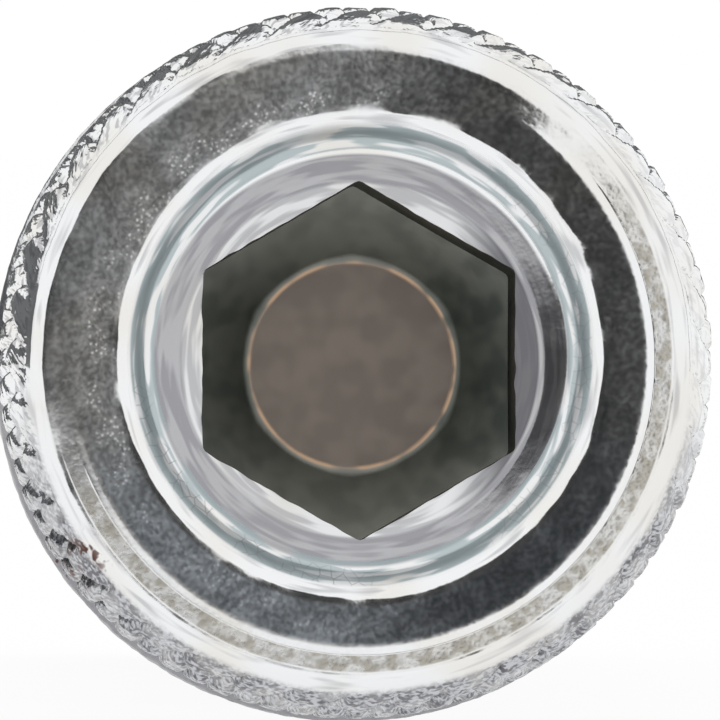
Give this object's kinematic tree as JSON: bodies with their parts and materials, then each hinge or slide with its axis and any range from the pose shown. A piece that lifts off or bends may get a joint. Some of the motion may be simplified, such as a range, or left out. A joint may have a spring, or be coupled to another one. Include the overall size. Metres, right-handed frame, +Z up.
{
  "type": "concrete screw anchor",
  "caption": "Concrete screw anchor: knurled cylinder head with a collar and a dished hexagon socket, plain neck and a coarse right-hand thread with cutting notches at the tip.",
  "frame": {"origin": "on the floor under the middle of the screw as it lies at rest", "axes": "+Z up; the shank points along +Y and the head's face looks along -Y, tipped up by the lie of the screw on its head and thread"},
  "size_m": [0.0138, 0.0682, 0.0139],
  "materials": {
    "zinc_plating": "bright zinc plating, semi-gloss and lightly pitted, with a dark film in the socket"
  },
  "bodies": {
    "root": {"screw_anchor": "zinc_plating"}
  },
  "joints": []
}
